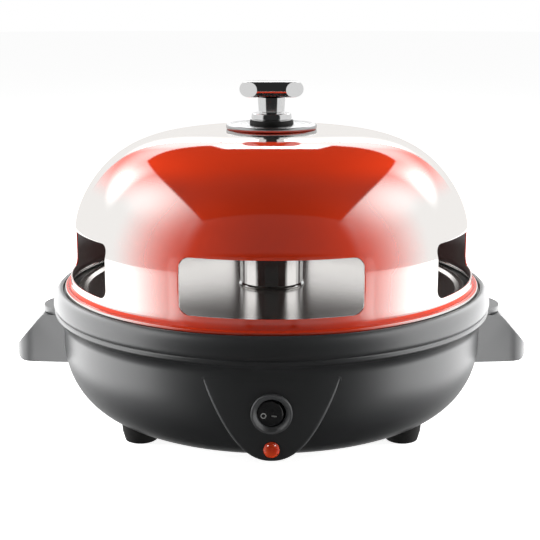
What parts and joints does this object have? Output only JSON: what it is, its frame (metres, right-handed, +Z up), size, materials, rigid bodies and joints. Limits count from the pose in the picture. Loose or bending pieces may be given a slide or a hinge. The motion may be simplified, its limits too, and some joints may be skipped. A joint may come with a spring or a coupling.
{
  "type": "electric pizza maker",
  "caption": "Countertop electric pizza oven: a black base with a heated round plate, side handles and a switch panel, under a red lift-off dome with serving windows and a metal knob.",
  "frame": {"origin": "on the dome's axis at the level of the table that the feet stand on", "axes": "+Z up along the dome's axis; the switch panel and one window face -Y; the side handles lie along X"},
  "size_m": [0.4868, 0.4094, 0.3141],
  "materials": {
    "black_plastic": "fine spark-eroded grain, satin",
    "gloss_black": "polished moulded plastic",
    "rubber": "matt rubber",
    "red_enamel": "high-gloss fired enamel on pressed steel",
    "chrome": "polished chrome plate",
    "steel": "bare zinc-plated or stainless steel",
    "non_stick": "satin non-stick coating on pressed steel",
    "heater_sheath": "heat-darkened tubular sheath",
    "ceramic": "glazed steatite and glass",
    "brass": "stamped tabs",
    "lamp_red": "clear red moulded lens",
    "lead_sleeve": "braided glass-fibre sleeve"
  },
  "bodies": {
    "base": {"lower_housing": "black_plastic", "rim_ring": "black_plastic", "side_handle_left": "black_plastic", "side_handle_right": "black_plastic", "handle_screws": "steel", "ring_screws": "steel", "bottom_cover": "steel", "bottom_screws": "steel", "foot_front_left": "rubber", "foot_front_right": "rubber", "foot_rear_left": "rubber", "foot_rear_right": "rubber", "foot_screws": "steel", "heat_shield": "steel", "baking_plate": "non_stick", "lower_heating_element": "heater_sheath", "lower_element_clips": "steel", "column_base": "steel", "column_base_screws": "steel", "column_tube": "chrome", "column_cap": "steel", "upper_heating_element": "heater_sheath", "upper_reflector": "steel", "upper_element_clips": "steel", "reflector_screw": "steel", "switch_bezel": "gloss_black", "switch_body": "gloss_black", "switch_terminals": "brass", "pilot_lamp_lens": "lamp_red", "pilot_neon": "ceramic", "pilot_lamp_nut": "steel", "terminal_block": "ceramic", "terminal_block_screws": "steel", "thermal_cutout": "steel", "cord_gland": "rubber", "gland_nut": "black_plastic", "lead_switch": "lead_sleeve", "lead_lower_element": "lead_sleeve", "lead_upper_element": "lead_sleeve", "lead_pilot_lamp": "lead_sleeve"},
    "dome": {"dome_shell": "red_enamel", "knob_disc": "chrome", "knob_gasket": "rubber", "knob_collar": "chrome", "knob_stem": "chrome", "knob_bar": "chrome", "knob_washer": "steel", "knob_screw": "steel"},
    "rocker": {"switch_rocker": "gloss_black"}
  },
  "joints": [
    {"name": "dome_lift", "type": "slide", "parent": "base", "child": "dome", "axis": [0, 0, 1], "range_m": [0, 0.15]},
    {"name": "rocker_tilt", "type": "hinge", "parent": "base", "child": "rocker", "pos_m": [0, -0.18945, 0.0625], "axis": [0, 0, 1], "range_deg": [0, 14]}
  ]
}
